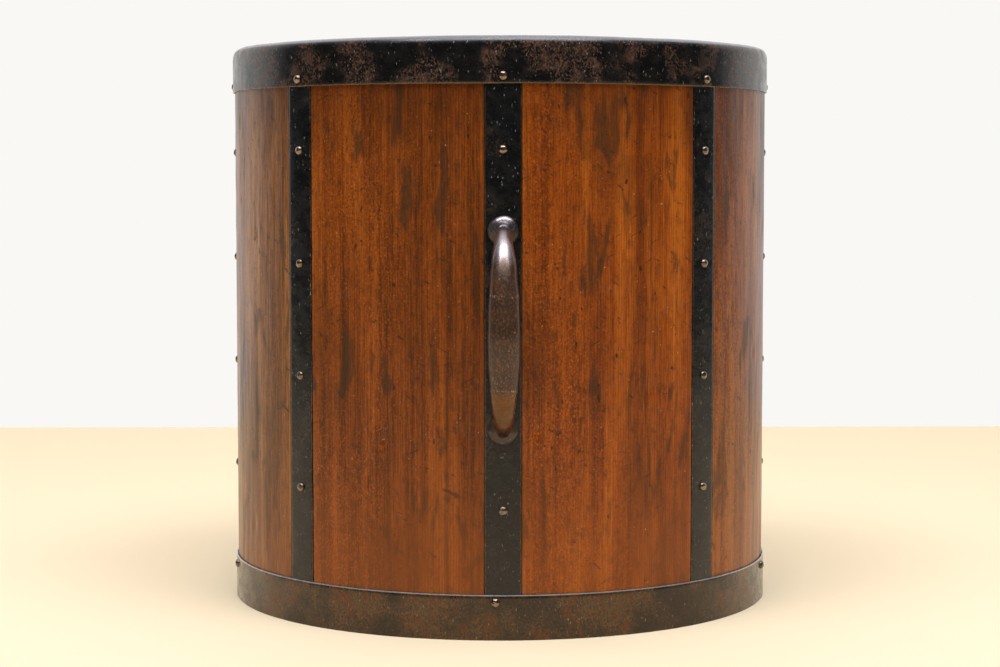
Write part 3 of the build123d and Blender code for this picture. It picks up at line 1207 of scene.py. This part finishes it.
def backdrop(name, code, wall=False):
    """A plain matt finish. A wall stays white to the camera and in gloss, and has no back."""
    material, tree = new_material(name)
    surface = add_node(
        tree, "ShaderNodeBsdfPrincipled", {"Base Color": linear(code), "Roughness": 0.8}
    )
    if wall:
        path = add_node(tree, "ShaderNodeLightPath").outputs
        seen = add_node(
            tree,
            "ShaderNodeMath",
            {0: path["Is Camera Ray"], 1: path["Is Glossy Ray"]},
            operation="MAXIMUM",
        )
        white = add_node(tree, "ShaderNodeEmission", {"Color": linear(code), "Strength": 1.0})
        surface = add_node(tree, "ShaderNodeMixShader", {0: seen, 1: surface, 2: white})
        back = add_node(tree, "ShaderNodeNewGeometry").outputs["Backfacing"]
        clear = add_node(tree, "ShaderNodeBsdfTransparent")
        surface = add_node(tree, "ShaderNodeMixShader", {0: back, 1: surface, 2: clear})
    add_node(tree, "ShaderNodeOutputMaterial", {"Surface": surface})
    return material


for name, code, size, tilt, place in (
    ("floor", "f0dcba", 1.6, 0, (0, 0.2, 0)),
    ("wall", "f9f8f5", 1.9, 90, (0, wall_distance, 1.9)),
):
    shape = bmesh.new()
    bmesh.ops.create_grid(shape, x_segments=1, y_segments=1, size=size)
    upright = Matrix.Rotation(radians(tilt), 3, "X")
    bmesh.ops.rotate(shape, verts=shape.verts, cent=(0, 0, 0), matrix=upright)
    bmesh.ops.translate(shape, verts=shape.verts, vec=place)
    mesh = bpy.data.meshes.new(name)
    shape.to_mesh(mesh)
    shape.free()
    mesh.materials.append(backdrop(f"{name}_paint", code, name == "wall"))
    item = bpy.data.objects.new(name, mesh)
    bpy.context.scene.collection.objects.link(item)
    print(f"{name}: {2 * size:.1f} m across")

# %% [markdown]
# ## Light
# The room is bright overhead and behind the tub and dim in front of it, and that is what keeps the
# wax deep and the iron black. An even world would turn the straps grey. So the world's strength
# goes by direction, and one wide lamp above gives the grip and the rivets their highlights.

# %% Room light
DIM, BRIGHT, ABOVE = 0.05, 1.0, 0.9  # strength in front, behind and above
world = bpy.data.worlds.new("room")
bpy.context.scene.world = world
world.use_nodes = True
room = world.node_tree
room.nodes.clear()
direction = add_node(room, "ShaderNodeTexCoord").outputs["Generated"]
towards = add_node(room, "ShaderNodeSeparateXYZ", {0: direction}).outputs
behind = add_node(
    room,
    "ShaderNodeMapRange",
    {"Value": towards["Y"], "From Min": 0.1, "From Max": 0.6, "To Min": DIM, "To Max": BRIGHT},
    interpolation_type="SMOOTHSTEP",
)
light = add_node(
    room,
    "ShaderNodeMapRange",
    {"Value": towards["Z"], "From Min": 0.5, "From Max": 0.85, "To Min": behind, "To Max": ABOVE},
    interpolation_type="SMOOTHSTEP",
)
seen = add_node(room, "ShaderNodeLightPath").outputs["Is Camera Ray"]
strength = add_node(
    room, "ShaderNodeMix", {"Factor": seen, "A": light, "B": 1.0}, data_type="FLOAT"
)
background = add_node(
    room, "ShaderNodeBackground", {"Color": linear("f6f8fb"), "Strength": strength}
)
add_node(room, "ShaderNodeOutputWorld", {"Surface": background})


# %% Lamp
def softbox(name, place, size, power, code):
    """A rectangular lamp aimed at the middle of the tub, unseen by the camera."""
    lamp = bpy.data.lights.new(name, "AREA")
    lamp.shape = "RECTANGLE"
    lamp.size, lamp.size_y = size
    lamp.energy = power
    lamp.color = linear(code)[:3]
    item = bpy.data.objects.new(name, lamp)
    bpy.context.scene.collection.objects.link(item)
    item.location = place
    aim = Vector((0, 0, height / 2)) - Vector(place)
    item.rotation_euler = aim.to_track_quat("-Z", "Y").to_euler()
    item.visible_camera = False
    print(f"{name}: {power} W")


softbox("overhead", (0, -0.75, 2.1), (2.2, 1.1), 56, "f4f7fd")

# %% [markdown]
# ## Camera
# A tub like this is best seen from about its own middle height, so that its sides stay upright and
# the rim closes to a thin line. From close by, the hoops would curve too much. So a long lens
# stands 1.3 m away, a little above the middle, and looks slightly down.

# %% Camera
camera_distance = 8.47 * outside
camera_height = 1.569 * outside
camera_dip = 4.03  # degrees below level
camera_turn = radians(-0.6)  # round the tub, to the left of its front handle
camera_data = bpy.data.cameras.new("camera")
camera_data.lens = 80.4
camera_data.sensor_width = 36
camera = bpy.data.objects.new("camera", camera_data)
bpy.context.scene.collection.objects.link(camera)
camera.location = (
    camera_distance * sin(camera_turn),
    -camera_distance * cos(camera_turn),
    camera_height,
)
camera.rotation_euler = Euler((radians(90 - camera_dip), 0, camera_turn))
bpy.context.scene.camera = camera
bpy.context.scene.view_settings.view_transform = "Standard"
print(f"camera {camera_distance:.2f} m away, {camera_height:.2f} m up")
